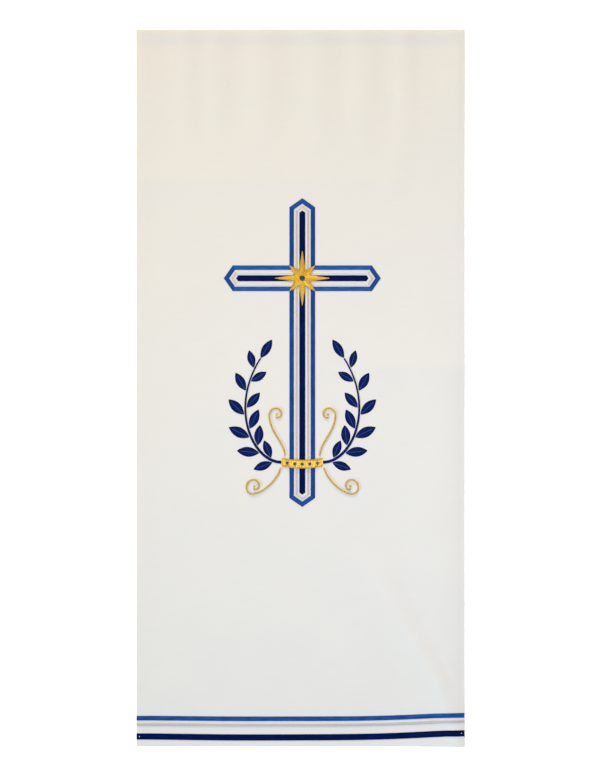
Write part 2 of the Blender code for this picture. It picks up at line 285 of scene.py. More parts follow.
def creamCrepe():
    # Plain woven polyester crepe, pressed. The eye gets a matt, even, slightly warm off-white,
    # a little yellower or greener in wide patches, with a weave that shows only close up
    material, tree, shader = startMaterial("creamCrepe", {
        "Roughness": 0.9,
        "Specular IOR Level": 0.25,
        "Sheen Weight": 0.03,
        "Sheen Roughness": 0.45,
    })
    place = addNode(tree, "ShaderNodeTexCoord")
    patches = addNode(tree, "ShaderNodeTexNoise", {"Scale": 9.0, "Detail": 3.0, "Roughness": 0.5},
                      {"Vector": (place, "Object")})
    tint = addNode(tree, "ShaderNodeValToRGB", None, {"Fac": (patches, "Fac")})
    fillRamp(tint, [(0.30, "#d8d7d2"), (0.52, "#d9d7d2"), (0.74, "#dad8d2")])
    # Slubs: threads a little thicker than the rest, drawn as faint streaks along the weft
    _, slubs = drawnNoise(tree, (place, "Object"), (26.0, 800.0, 1.0), 2.0,
                          [(0.30, "#fdfdfd"), (0.60, "#ffffff")])
    colour = addNode(tree, "ShaderNodeMixRGB", {"blend_type": "MULTIPLY", "Fac": 1.0},
                     {"Color1": (tint, "Color"), "Color2": (slubs, "Color")})
    # Plain weave, drawn at 1.1 mm, about twice the real thread spacing, so that it shows close up
    threadPitch = 0.0011
    warp, weft = (addNode(tree, "ShaderNodeTexWave", {
        "Scale": waveScale(threadPitch),
        "bands_direction": direction,
        "Distortion": 0.6,
        "Detail": 1.0,
        "Detail Scale": 0.6,
    }, {"Vector": (place, "Object")}) for direction in "XY")
    weave = addNode(tree, "ShaderNodeMath", {"operation": "MULTIPLY"}, {0: (warp, "Fac"), 1: (weft, "Fac")})
    fine = addNode(tree, "ShaderNodeBump", {"Strength": 0.35, "Distance": 0.00012},
                   {"Height": (weave, "Value")})
    crumple = addNode(tree, "ShaderNodeTexNoise", {"Scale": 38.0, "Detail": 3.0, "Roughness": 0.45},
                      {"Vector": (place, "Object")})
    soft = addNode(tree, "ShaderNodeBump", {"Strength": 0.5, "Distance": 0.00035},
                   {"Height": (crumple, "Fac"), "Normal": (fine, "Normal")})
    joinUp(tree, shader, {"Base Color": (colour, "Color"), "Normal": (soft, "Normal")})
    return material


def paintSheenByHeading(tree, colour, hexText):
    # Painted sheen: the colour as it is where a strip runs along X, multiplied by a painted shade tint where
    # it runs along Y, which stands in for the sheen that such strips catch less of
    tangent = addNode(tree, "ShaderNodeTangent", {"direction_type": "UV_MAP", "uv_map": "lie"})
    parts = addNode(tree, "ShaderNodeSeparateXYZ", None, {"Vector": (tangent, "Tangent")})
    size = addNode(tree, "ShaderNodeMath", {"operation": "ABSOLUTE"}, {0: (parts, "Y")})
    return addNode(tree, "ShaderNodeMixRGB", {"blend_type": "MULTIPLY", "Color2": linearColour(hexText)},
                   {"Fac": (size, "Value"), "Color1": (colour, "Color")})


def grosgrain(name, colours, specular, sheenShadeAlongY="#ffffff"):
    # Polyester grosgrain ribbon: crosswise ribs in the mesh, fine lengthwise threads in the bump.
    # Its soft sheen across its length is partly real anisotropic gloss and partly a painted shade multiplied
    # in where it runs along Y, which makes strips along Y look darker than those along X
    material, tree, shader = startMaterial(name, {
        "Roughness": 0.55,
        "Specular IOR Level": specular,
        "Anisotropic": 0.5,
        "Anisotropic Rotation": 0.25,
        "Sheen Weight": 0.03,
        "Sheen Roughness": 0.4,
    })
    lie = addNode(tree, "ShaderNodeUVMap", {"uv_map": "lie"})
    _, drift = drawnNoise(tree, (lie, "UV"), (45.0, 260.0, 1.0), 3.0, zip((0.30, 0.50, 0.70), colours))
    # Strips along Y are darkened by a painted sheen shade
    sheenToned = paintSheenByHeading(tree, drift, sheenShadeAlongY)
    # Threads 0.3 mm apart, drawn at 0.55 mm
    threads = addNode(tree, "ShaderNodeTexWave", {"Scale": waveScale(0.00055), "bands_direction": "Y"},
                      {"Vector": (lie, "UV")})
    bump = addNode(tree, "ShaderNodeBump", {"Strength": 0.4, "Distance": 0.00008},
                   {"Height": (threads, "Fac")})
    tangent = addNode(tree, "ShaderNodeTangent", {"direction_type": "UV_MAP", "uv_map": "lie"})
    joinUp(tree, shader, {
        "Base Color": (sheenToned, "Color"),
        "Normal": (bump, "Normal"),
        "Tangent": (tangent, "Tangent"),
    })
    return material


def lurexBraid(name, colours, metallic, sheenShadeAlongY="#ffffff"):
    # Plaited braid of rayon and flat metal thread: pale and silky, with a fine glitter on its crowns,
    # and duller where it runs along Y through a painted shade that stands in for the sheen it catches less
    # there
    material, tree, shader = startMaterial(name, {
        "Roughness": 0.42,
        "Metallic": metallic,
        "Specular IOR Level": 0.4,
    })
    lie = addNode(tree, "ShaderNodeUVMap", {"uv_map": "lie"})
    glitter, tone = drawnNoise(tree, (lie, "UV"), (900.0, 1500.0, 1.0), 2.0, zip((0.30, 0.52, 0.72), colours))
    # Strips along Y are dulled by a painted sheen shade
    sheenToned = paintSheenByHeading(tree, tone, sheenShadeAlongY)
    bump = addNode(tree, "ShaderNodeBump", {"Strength": 0.3, "Distance": 0.00010},
                   {"Height": (glitter, "Fac")})
    joinUp(tree, shader, {"Base Color": (sheenToned, "Color"), "Normal": (bump, "Normal")})
    return material


def satinStitch(name, colours, values, threadPitch):
    # Machine satin stitch: rayon or metal thread laid side by side. Each thread catches light
    # along its crown, and neighbours differ a little in tone
    material, tree, shader = startMaterial(name, values)
    lie = addNode(tree, "ShaderNodeUVMap", {"uv_map": "lie"})
    _, tone = drawnNoise(tree, (lie, "UV"), (1 / threadPitch, 60.0, 1.0), 2.0,
                         zip((0.28, 0.50, 0.72), colours))
    threads = addNode(tree, "ShaderNodeTexWave", {"Scale": waveScale(threadPitch), "Distortion": 0.3},
                      {"Vector": (lie, "UV")})
    bump = addNode(tree, "ShaderNodeBump", {"Strength": 0.5, "Distance": 0.00010},
                   {"Height": (threads, "Fac")})
    joinUp(tree, shader, {"Base Color": (tone, "Color"), "Normal": (bump, "Normal")})
    return material


def spunThread(name, grooveShadeColour, colour, values):
    # Spun polyester sewing thread, or wrapped metal thread: twisted fibre, a little fuzzy in tone. Its colour
    # falls to the first, darker colour where the twist's bump sinks: painted shade in the grooves between the
    # plies
    material, tree, shader = startMaterial(name, {"Roughness": 0.6, "Specular IOR Level": 0.15, **values})
    lie = addNode(tree, "ShaderNodeUVMap", {"uv_map": "lie"})
    twisted = addNode(tree, "ShaderNodeMapping", {"Rotation": (0.0, 0.0, math.radians(35))},
                      {"Vector": (lie, "UV")})
    twist = addNode(tree, "ShaderNodeTexWave", {"Scale": waveScale(0.0005), "Distortion": 0.5},
                    {"Vector": (twisted, "Vector")})
    # Painted groove shade: the same wave as the bump, darker where it is low
    ramp = addNode(tree, "ShaderNodeValToRGB", None, {"Fac": (twist, "Fac")})
    fillRamp(ramp, [(0.0, grooveShadeColour), (0.6, colour)])
    bump = addNode(tree, "ShaderNodeBump", {"Strength": 0.5, "Distance": 0.00008},
                   {"Height": (twist, "Fac")})
    joinUp(tree, shader, {"Base Color": (ramp, "Color"), "Normal": (bump, "Normal")})
    return material


def pressedGlass():
    # Pressed, foiled glass: dark teal that turns to navy, with hard small glints on its facets
    material, tree, shader = startMaterial("pressedGlass", {
        "Roughness": 0.12,
        "IOR": 1.52,
        "Specular IOR Level": 0.25,
    })
    place = addNode(tree, "ShaderNodeTexCoord")
    depth = addNode(tree, "ShaderNodeTexNoise", {"Scale": 420.0, "Detail": 1.0},
                    {"Vector": (place, "Object")})
    ramp = addNode(tree, "ShaderNodeValToRGB", None, {"Fac": (depth, "Fac")})
    fillRamp(ramp, [(0.35, "#021a33"), (0.55, "#063a4f"), (0.70, "#0b5c74")])
    joinUp(tree, shader, {"Base Color": (ramp, "Color")})
    return material


navySheen = {"Roughness": 0.45, "Specular IOR Level": 0.05, "Sheen Weight": 0.01}
goldSheen = {"Roughness": 0.38, "Metallic": 0.70, "Specular IOR Level": 0.4}
materials = {
    "cream": creamCrepe(),
    # The last colour given to the blue grosgrain and the silver soutache is a painted sheen shade for their
    # strips along Y
    "blue": grosgrain("blueGrosgrain", ("#174489", "#1f5095", "#2a5fa8"), 0.07, "#bdc6dd"),
    "borderBlue": grosgrain("borderBlueGrosgrain", ("#0f3b7a", "#154688", "#20569b"), 0.07),
    "navy": grosgrain("navyGrosgrain", ("#000c3c", "#001045", "#021852"), 0.02),
    "silver": lurexBraid("silverSoutache", ("#b2b0af", "#dddedc", "#f8f8f6"), 0.15, "#e0d6cd"),
    "borderSilver": lurexBraid("silverGalloon", ("#928e8d", "#bab6b2", "#dcd9d4"), 0.35),
    "navySatin": satinStitch("navySatinStitch", ("#000b3f", "#00124e", "#041c62"), navySheen, 0.0009),
    "goldSatin": satinStitch("goldSatinStitch", ("#9a7420", "#cfa136", "#e8c258"), goldSheen, 0.0009),
    # Each thread's first colour is the painted shade in its twist's grooves
    "goldCord": spunThread("goldCord", "#b3911f", "#dfbb33", {**goldSheen, "Metallic": 0.35}),
    "creamThread": spunThread("creamThread", "#e0ddd5", "#efece4", {}),
    "blueThread": spunThread("blueThread", "#153c78", "#2b60a6", {}),
    "navyThread": spunThread("navyThread", "#020a30", "#071b52", {}),
    "whiteThread": spunThread("whiteThread", "#dcdcdc", "#fafafa", {}),
    "glass": pressedGlass(),
}
print("materials made:", len(materials))


# The ground cloth

cloth = {
    "width": 0.550,
    "length": 1.200,
    "thickness": 0.0015,
    "hemWidth": 0.008,
    "hemThickness": 0.0023,
    "hemBridge": 0.020,  # beside the hem the single cloth comes down over this width
    "hemEdge": 0.0006,
    "foldPower": 4,  # the pressed fold is squarer than a half circle
    "seamInset": 0.0069,
    "seamDepth": 0.00016,
    "seamHalfWidth": 0.0010,
    "cell": 0.0050,
    "unevenness": 0.00030,
    "waves": [(27, 9, 0.6), (-43, 19, 2.1), (12, 37, 4.0)],  # radians a metre along x, along y, and at 0
    "rippleFade": 1.6,  # above 1, a ripple keeps its full height for the first part of its reach
    # x, half width, height, reach down from the upper end
    "ripples": [
        (-0.262, 0.038, 0.0016, 0.250),
        (-0.192, 0.030, 0.0015, 0.250),
        (-0.138, 0.030, 0.0018, 0.240),
        (-0.061, 0.042, 0.0024, 0.265),
        (0.030, 0.044, 0.0021, 0.260),
        (0.106, 0.038, 0.0020, 0.250),
        (0.176, 0.029, 0.0018, 0.255),
        (0.266, 0.046, 0.0020, 0.245),
    ],
    # y, from x, to x, height, reach above, reach below: pressed in by folding
    "creases": [
        (0.3467, -0.330, 0.195, 0.0017, 0.120, 0.075),
        (0.0353, 0.070, 0.330, 0.0024, 0.110, 0.080),
        (-0.1920, -0.330, -0.100, 0.0008, 0.090, 0.080),
    ],
    "creaseFade": 0.045,
    # y, x, height, half width to the left, half width to the right
    "dragFold": [
        (-0.600, 0.262, 0.0068, 0.075, 0.045),
        (-0.530, 0.243, 0.0068, 0.070, 0.050),
        (-0.492, 0.228, 0.0062, 0.065, 0.052),
        (-0.420, 0.190, 0.0043, 0.065, 0.058),
        (-0.358, 0.148, 0.0024, 0.070, 0.060),
        (-0.240, 0.094, 0.0000, 0.080, 0.060),
    ],
    "dragEdge": 0.026,  # the steep strip to the left of its crest, and its share of the height
    "dragSteep": 0.5,
    "topRoll": (0.595, 0.0021, 0.026),  # y, height, half width
    # x, half width to the left, half width to the right, then heights by y
    "sideRoll": (0.246, 0.090, 0.034, [(-0.60, 0.0030), (0.02, 0.0026), (0.08, 0.0012), (0.60, 0.0006)]),
    # Distances in from the edge where the grid is fine: the round fold, the seam and the hem's step
    "edgeLines": (0.0, 0.00008, 0.0003, 0.0006, 0.00115, 0.0025, 0.0043, 0.0059, 0.0064, 0.0069,
                  0.0074, 0.0080, 0.0087, 0.0095),
}
halfWidth, halfLength = cloth["width"] / 2, cloth["length"] / 2


def relief(x, y):
    # How high the underside lies: ripples from the upper end, creases, the rolls and the drag fold
    down = halfLength - y
    ripples = sum(height * hump(x - middle, wide) * smooth(cloth["rippleFade"] * (1 - down / reach))
                  for middle, wide, height, reach in cloth["ripples"])
    fade = cloth["creaseFade"]
    creases = sum(height * smooth((x - xFrom) / fade) * smooth((xTo - x) / fade)
                  * peak(y - line, np.where(y > line, above, below))
                  for line, xFrom, xTo, height, above, below in cloth["creases"])
    ys, xs, heights, lefts, rights = np.array(cloth["dragFold"]).T
    crest = np.interp(y, ys, xs)
    wide = np.where(x < crest, np.interp(y, ys, lefts), np.interp(y, ys, rights))
    share = cloth["dragSteep"]
    steep = (1 - share) * hump(x - crest, wide) + share * peak(x - crest, cloth["dragEdge"])
    drag = np.interp(y, ys, heights) * np.where(x < crest, steep, hump(x - crest, wide))
    rollY, rollHeight, rollWide = cloth["topRoll"]
    topRoll = rollHeight * hump(y - rollY, rollWide)
    sideX, sideLeft, sideRight, rises = cloth["sideRoll"]
    sideHeight = np.interp(y, *np.array(rises).T)
    sideRoll = sideHeight * hump(x - sideX, np.where(x < sideX, sideLeft, sideRight))
    return ripples + creases + topRoll + np.maximum(sideRoll, drag) + unevenness(x, y)


def unevenness(x, y):
    # The cloth's slack: a few wide, shallow waves added up, never below 0
    waves = sum(np.sin(byX * x + byY * y + start) for byX, byY, start in cloth["waves"])
    return cloth["unevenness"] * (1 + waves / len(cloth["waves"]))


def faceHeight(x, y):
    # The height of the upper face: the underside, the cloth, its lift over the hem and the seam's groove
    inset = np.minimum(halfWidth - np.abs(x), halfLength - np.abs(y))
    seam = cloth["seamDepth"] * hump(inset - cloth["seamInset"], cloth["seamHalfWidth"])
    return relief(x, y) + cloth["thickness"] + hemLift(inset) - seam


def foldShare(inset):
    # The share of its thickness that the hem has near its fold
    return shoulder(inset, cloth["hemThickness"] / 2, cloth["foldPower"])


def hemLift(inset):
    # The hem's second layer, and beside it the bridge of single cloth that comes down from it
    bridge = smooth((inset - cloth["hemWidth"]) / cloth["hemBridge"])
    return (cloth["hemThickness"] - cloth["thickness"]) * (1 - bridge)


def overFace(flat, *lifts):
    # Points in plan, at the height of the face plus the lifts
    height = sum(lifts, faceHeight(flat[..., 0], flat[..., 1]))
    return np.concatenate([flat, height[..., None]], -1)


def clothLines(half):
    # Fine lines along both edges and even cells between them
    fine = half - np.array(cloth["edgeLines"])
    inner = fine[-1]
    even = np.linspace(-inner, inner, round(2 * inner / cloth["cell"]) + 1)
    return np.concatenate([-fine, even[1:-1], fine[::-1]])


def groundCloth():
    # Upper face and underside over one grid. They meet at the edge, in the hem's fold
    x, y = np.meshgrid(clothLines(halfWidth), clothLines(halfLength))
    inset = np.minimum(halfWidth - np.abs(x), halfLength - np.abs(y))
    low, high = relief(x, y), faceHeight(x, y)
    low = low + hemLift(inset) * smooth((inset - cloth["hemWidth"]) / cloth["hemEdge"])
    middle, half = (low + high) / 2, (high - low) / 2 * foldShare(inset)
    upper, under = stacked(x, y, middle + half), stacked(x, y, middle - half)
    rows, columns = x.shape
    quads, halves = halvedCorners(gridQuads(rows, columns), columns)
    both = np.concatenate([quads, quads[:, ::-1] + x.size])
    halves += [[i + x.size for i in face[::-1]] for face in halves]
    points = np.concatenate([upper.reshape(-1, 3), under.reshape(-1, 3)])
    lie = np.tile(stacked(x, y).reshape(-1, 2), (2, 1))
    return addPiece("groundCloth", (points, both, halves, lie), "cream", ["ground_cloth"], 75)


clothPiece = groundCloth()
print("ground cloth laid")


# Stitches

stitch = {
    "pitch": 0.0030,
    "length": 0.0023,
    "radius": 0.00021,
    "rings": 5,
    "sides": 5,
    "dip": 0.00035,
    "sway": 0.00006,
    "turn": 0.03,
    "ribbonLift": 0.5,  # how far a stitch's middle lies over what it is sewn through, as shares of its radius
    "hemLift": 0.6,
}


def stitchesShell(middles, directions, length=None, radius=None, arch=0.0):
    # Short threads at middles. Each is a spindle whose ends dip in: along (s - 1/2) length, a ring of
    # radius sqrt(1 - (2s - 1)^4), and a height of arch sin(pi s) less the dip at its ends
    length, radius = length or stitch["length"], radius or stitch["radius"]
    s = np.linspace(0, 1, stitch["rings"])
    angle = np.linspace(0, 2 * math.pi, stitch["sides"], endpoint=False)
    thick = radius * np.sqrt(1 - (2 * s - 1) ** 4)
    rise = arch * np.sin(math.pi * s) - stitch["dip"] * (2 * s - 1) ** 4
    forward = (s - 0.5)[:, None] * length + 0 * angle
    aside = thick[:, None] * np.cos(angle)
    up = rise[:, None] - thick[:, None] * np.sin(angle)
    right = rightOf(directions)
    flat = (middles[:, None, None, :2] + forward[..., None] * directions[:, None, None]
            + aside[..., None] * right[:, None, None])
    height = middles[:, None, None, 2:] + up[..., None]
    points = np.concatenate([flat, height], -1)
    count = len(middles)
    each = stitch["rings"] * stitch["sides"]
    quads = gridQuads(stitch["rings"], stitch["sides"], closedColumns=True)
    quads = (quads[None] + np.arange(count)[:, None, None] * each).reshape(-1, 4)
    lie = np.broadcast_to(stacked(forward, aside), (count, *forward.shape, 2))
    return points.reshape(-1, 3), quads, [], lie.reshape(-1, 2)


def stitchRow(line, *lifts):
    # Stitches along a line in plan, a pitch apart and slightly uneven, at the face's height plus the lifts
    path, _ = evenly(line, stitch["pitch"])
    path, direction = path[1:-1], headings(path)[1:-1]
    path = path + random.normal(0, stitch["sway"], (len(path), 1)) * rightOf(direction)
    direction = direction + random.normal(0, stitch["turn"], direction.shape)
    direction = direction / np.linalg.norm(direction, axis=1)[:, None]
    return stitchesShell(overFace(path, *lifts), direction)


def hemStitches():
    # One row on each side of the cloth, in the seam's groove
    inset = cloth["seamInset"]
    right, top = halfWidth - inset, halfLength - inset
    corners = np.array([(right, -halfLength), (right, halfLength), (-halfWidth, top), (halfWidth, top),
                        (-right, halfLength), (-right, -halfLength), (halfWidth, -top), (-halfWidth, -top)])
    rise = stitch["radius"] * stitch["hemLift"]
    rows = [stitchRow(corners[i:i + 2], rise) for i in range(0, 8, 2)]
    return addPiece("hemStitches", joinShells(rows), "creamThread")


hemPiece = hemStitches()
print("hem stitched")


# Ribbons and braids

ribbon = {
    "thickness": 0.0010,
    "shoulder": 0.0005,
    "ribPitch": 0.0016,
    "ribHeight": 0.00018,
    "stitchInset": 0.0010,
    "grooveDepth": 0.00022,
    "grooveHalfWidth": 0.0008,
    "clearance": 0.00008,
    "mitreHeight": 0.72,
    "mitreFade": 0.0012,
    "step": 0.0004,
    # Places across, in from each edge, that the section needs
    "edgePlaces": (0.0, 0.00020, 0.00055, 0.0010, 0.0018),
}
soutache = {
    "thickness": 0.0014,
    "valley": 0.50,
    "ridgePitch": 0.0013,
    "ridgeHeight": 0.00013,
    "lean": 1.1,
    "step": 0.00035,
    "mitreFade": 0.0010,
    "mitreHeight": 0.80,
    "places": (0.0, 0.06, 0.16, 0.28, 0.40, 0.50, 0.60, 0.72, 0.84, 0.94, 1.0),
}
galloon = {
    "thickness": 0.0014,
    "cellPitch": 0.0015,
    "shoulder": 0.0006,
    "weaveShare": 0.38,
    "strandMiddle": 0.6,  # a strand's crown lies at this share of the weave, and rises and falls by the next
    "strandSwing": 0.4,
    "step": 0.0003,
    "places": 21,
}


def acrossPlaces(width):
    # Where the section's points lie: fine along both edges and one in the middle
    near = np.array(ribbon["edgePlaces"])
    return np.concatenate([near, [width / 2], width - near[::-1]])


def ribbonSection(along, across, width, fromEnd, mitred):
    # Round selvedges, a groove for each row of stitches and |sin| ribs, which fade towards the ends
    inset = np.minimum(across, width - across)
    ribs = ribbon["ribHeight"] * (1 - np.abs(np.sin(math.pi * along / ribbon["ribPitch"])))
    groove = ribbon["grooveDepth"] * hump(inset - ribbon["stitchInset"], ribbon["grooveHalfWidth"])
    fade = smooth(fromEnd / ribbon["mitreFade"])
    if mitred:
        ends = ribbon["mitreHeight"] + (1 - ribbon["mitreHeight"]) * fade
    else:
        ends = shoulder(fromEnd, ribbon["shoulder"])
    return shoulder(inset, ribbon["shoulder"]) * ends * (ribbon["thickness"] - groove - ribs * fade)


def soutacheSection(along, across, width, fromEnd, mitred):
    # Two half circles side by side, with slanting ridges that meet in the valley between them
    share = across / width
    lobe = np.sqrt(np.clip(1 - (4 * np.minimum(share, 1 - share) - 1) ** 2, 0, 1))
    body = np.where(np.abs(share - 0.5) < 0.25, np.maximum(lobe, soutache["valley"]), lobe)
    fade = smooth(fromEnd / soutache["mitreFade"])
    lean = soutache["lean"] * np.abs(across - width / 2)
    ridges = soutache["ridgeHeight"] * np.sin(2 * math.pi * (along - lean) / soutache["ridgePitch"])
    ends = soutache["mitreHeight"] + (1 - soutache["mitreHeight"]) * fade
    return body * ends * (soutache["thickness"] - soutache["ridgeHeight"] + ridges * fade)


def galloonSection(along, across, width, fromEnd, mitred):
    # Strands at 45 degrees both ways, each over one and under one: the higher of two round strands,
    # whose heights rise and fall with the cosine of the place along them
    a, b = (along + across) / galloon["cellPitch"], (along - across) / galloon["cellPitch"]
    f, g = a - np.floor(a) - 0.5, b - np.floor(b) - 0.5
    over = np.where((np.floor(a) + np.floor(b)) % 2 == 0, 1.0, -1.0)
    middle, swing = galloon["strandMiddle"], galloon["strandSwing"]
    oneWay = np.sqrt(1 - (2 * g) ** 2) * (middle + swing * over * np.cos(math.pi * f))
    otherWay = np.sqrt(1 - (2 * f) ** 2) * (middle - swing * over * np.cos(math.pi * g))
    plait = np.maximum(oneWay, otherWay)
    inset = np.minimum(across, width - across)
    share = galloon["weaveShare"]
    edges = shoulder(inset, galloon["shoulder"]) * shoulder(fromEnd, galloon["shoulder"])
    return edges * galloon["thickness"] * (1 - share + share * plait)


def straightStrip(start, heading, across, first, last, step):
    # Lines a step apart along heading. At each place across they stop at that place's two limits
    lines = np.linspace(first.min(), last.max(), max(3, round((last.max() - first.min()) / step)) + 1)
    along = np.clip(lines[:, None], first, last)
    right = rightOf(np.asarray(heading))
    flat = np.asarray(start) + along[..., None] * heading + across[:, None] * right
    return flat, along, np.minimum(along - first, last - along)


def sewnStrip(start, heading, width, first, last, across, section, step, mitred=False):
    # A straight strip on the cloth, with its section's height over the face
    flat, along, fromEnd = straightStrip(start, heading, across, first, last, step)
    rise = section(along, across + 0 * along, width, fromEnd, mitred)
    points = overFace(flat, ribbon["clearance"], rise)
    return stripShell(points, stacked(along, across), closedEnds=not mitred)


# The border bands across the lower end

border = {
    # name, height over the lower end, width, CAD node, material, thread, slot
    "bands": [
        ("borderBlue", 0.0475, 0.0078, "border_blue", "borderBlue", "blueThread", "ribbon_blue"),
        ("borderSilver", 0.0371, 0.0045, "border_silver", "borderSilver", "whiteThread", "braid_silver"),
        ("borderNavy", 0.0170, 0.0104, "border_navy", "navy", "navyThread", "ribbon_navy"),
    ],
    "end": 0.0005,
    # x, rise of the lowest band, rise of the highest: they sag a little and rise to the right
    "bow": [(-0.275, 0.0000, 0.0000), (-0.220, -0.0006, -0.0002), (-0.180, -0.0010, -0.0006),
            (-0.130, -0.0016, -0.0009), (-0.090, -0.0019, -0.0012), (-0.050, -0.0018, -0.0011),
            (0.000, -0.0015, -0.0010), (0.050, -0.0013, -0.0009), (0.100, -0.0010, -0.0006),
            (0.130, -0.0003, -0.0001), (0.160, 0.0008, 0.0009), (0.190, 0.0024, 0.0024),
            (0.220, 0.0040, 0.0039), (0.250, 0.0053, 0.0050), (0.275, 0.0059, 0.0053)],
    "bowDegree": 7,
}


def bandLine(x, height):
    # A smooth curve near the bow's points, between the lowest band's and the highest band's by height
    xs, low, high = np.array(border["bow"]).T
    bottom, top = border["bands"][-1][1], border["bands"][0][1]
    share = (height - bottom) / (top - bottom)
    return np.polyval(np.polyfit(xs, low + share * (high - low), border["bowDegree"]), x)


def borderBand(name, height, width, node, material, thread, slotName):
    # A strip along the band's line, from edge to edge over the side hems, and a row of stitches on each side
    plaited = slotName == "braid_silver"
    section, step = (galloonSection, galloon["step"]) if plaited else (ribbonSection, ribbon["step"])
    across = np.linspace(0, width, galloon["places"]) if plaited else acrossPlaces(width)
    end = halfWidth - border["end"]
    x = np.linspace(end, -end, round(2 * end / step) + 1)[:, None] + 0 * across
    y = height - halfLength + bandLine(x, height) - width / 2 + across
    fromEnd = end - np.abs(x)
    rise = section(x + end, across + 0 * x, width, fromEnd, False)
    fold = (1 - foldShare(halfWidth - np.abs(x))) * cloth["hemThickness"] / 2  # how far the fold falls away
    z = faceHeight(x, y) - fold + ribbon["clearance"] + rise
    shell = stripShell(stacked(x, y, z), stacked(x, across))
    piece = addPiece(name, shell, material, [node])
    rows = []
    for side in (-1, 1):
        inset = width / 2 - ribbon["stitchInset"]
        line = stacked(x[:, 0], height - halfLength + bandLine(x[:, 0], height) + side * inset)
        top = ribbon["thickness"] - (0 if plaited else ribbon["grooveDepth"])
        rows.append(stitchRow(line, top + stitch["radius"] * stitch["ribbonLift"]))
    stitches = addPiece(name + "Stitches", joinShells(rows), thread)
    return [piece, stitches]


borderPieces = [piece for row in border["bands"] for piece in borderBand(*row)]
print("border bands sewn on")


# The cross

cross = {
    "x": 0.003,
    "y": 0.184,
    "up": 0.134,
    "side": 0.1315,
    "down": 0.383,
    "pointSlope": 0.70,
    "outline": {"half": 0.0215, "width": 0.0075, "drawnIn": 0.0},
    "braid": {"half": 0.0113, "width": 0.0032, "drawnIn": 0.0124},
    "core": {"half": 0.0050, "drawnIn": 0.0205, "gap": 0.0004},  # gap: from the long strip to the side ones
}


def crossCorners(half, drawnIn):
    # A Latin cross with pointed ends, clockwise from its top
    up, side, down = cross["up"] - drawnIn, cross["side"] - drawnIn, cross["down"] - drawnIn
    point = half * cross["pointSlope"]
    right = [(0, up), (half, up - point), (half, half), (side - point, half), (side, 0),
             (side - point, -half), (half, -half), (half, point - down), (0, -down)]
    left = [(-x, y) for x, y in right[-2:0:-1]]
    return np.array([(cross["x"] + x, cross["y"] + y) for x, y in right + left])


def innerCorners(sizes, inset):
    # The same outline drawn in by inset, measured square to its edges
    mitre = inset * math.hypot(1, cross["pointSlope"])
    return crossCorners(sizes["half"] - inset, sizes["drawnIn"] + mitre)


def crossRing(name, sizes, across, section, step, node, material):
    # A strip along each edge of the outline. Both limits of a strip run along its mitres
    width = sizes["width"]
    outer, inner = crossCorners(sizes["half"], sizes["drawnIn"]), innerCorners(sizes, width)
    shells = []
    for i in range(len(outer)):
        after = (i + 1) % len(outer)
        edge = outer[after] - outer[i]
        length = np.linalg.norm(edge)
        heading = edge / length
        first = across / width * ((inner[i] - outer[i]) @ heading)
        last = length + across / width * ((inner[after] - outer[after]) @ heading)
        shells.append(sewnStrip(outer[i], heading, width, first, last, across, section, step, mitred=True))
    return addPiece(name, joinShells(shells), material, [node])


def crossStitches(name, rows, top, material):
    # Closed rows of stitches along outlines of the cross
    lift = stitch["radius"] * stitch["ribbonLift"]
    shells = [stitchRow(corners[[i, (i + 1) % len(corners)]], top, lift)
              for corners in rows for i in range(len(corners))]
    return addPiece(name, joinShells(shells), material)


def crossCore():
    # The navy ribbon: one length down the middle and one to each side, with pointed outer ends
    half, drawnIn = cross["core"]["half"], cross["core"]["drawnIn"]
    up, side, down = cross["up"] - drawnIn, cross["side"] - drawnIn, cross["down"] - drawnIn
    across = acrossPlaces(2 * half)
    point = cross["pointSlope"] * np.abs(across - half)
    middle = np.array([cross["x"], cross["y"]])
    gap = 0 * point + cross["core"]["gap"]
    strips = [((-half, -down), (0, 1), point, up + down - point),
              ((half, half), (1, 0), gap, side - half - point),
              ((-half, -half), (-1, 0), gap, side - half - point)]
    shells, rows = [], []
    for start, heading, first, last in strips:
        begin, heading = middle + start, np.array(heading, float)
        shells.append(sewnStrip(begin, heading, 2 * half, first, last, across, ribbonSection, ribbon["step"]))
        for inset in (ribbon["stitchInset"], 2 * half - ribbon["stitchInset"]):
            reach = np.interp(inset, across, first), np.interp(inset, across, last)
            line = np.array([begin + heading * place + rightOf(heading) * inset for place in reach])
            top = ribbon["thickness"] - ribbon["grooveDepth"]
            rows.append(stitchRow(line, top + stitch["radius"] * stitch["ribbonLift"]))
    core = addPiece("crossCore", joinShells(shells), "navy", ["cross_core"])
    return [core, addPiece("crossCoreStitches", joinShells(rows), "navyThread")]


def crossPieces():
    outline, braid = cross["outline"], cross["braid"]
    inset = ribbon["stitchInset"]
    ribbonTop = ribbon["thickness"] - ribbon["grooveDepth"]
    braidTop = soutache["thickness"] * soutache["valley"]
    return [
        crossRing("crossOutline", outline, acrossPlaces(outline["width"]), ribbonSection, ribbon["step"],
                  "cross_outline", "blue"),
        crossStitches("crossOutlineStitches",
                      [innerCorners(outline, inset), innerCorners(outline, outline["width"] - inset)],
                      ribbonTop, "blueThread"),
        crossRing("crossBraid", braid, np.array(soutache["places"]) * braid["width"], soutacheSection,
                  soutache["step"], "cross_braid", "silver"),
        crossStitches("crossBraidStitches", [innerCorners(braid, braid["width"] / 2)],
                      braidTop, "whiteThread"),
        *crossCore(),
    ]


crossParts = crossPieces()
print("cross sewn on")


# The branches

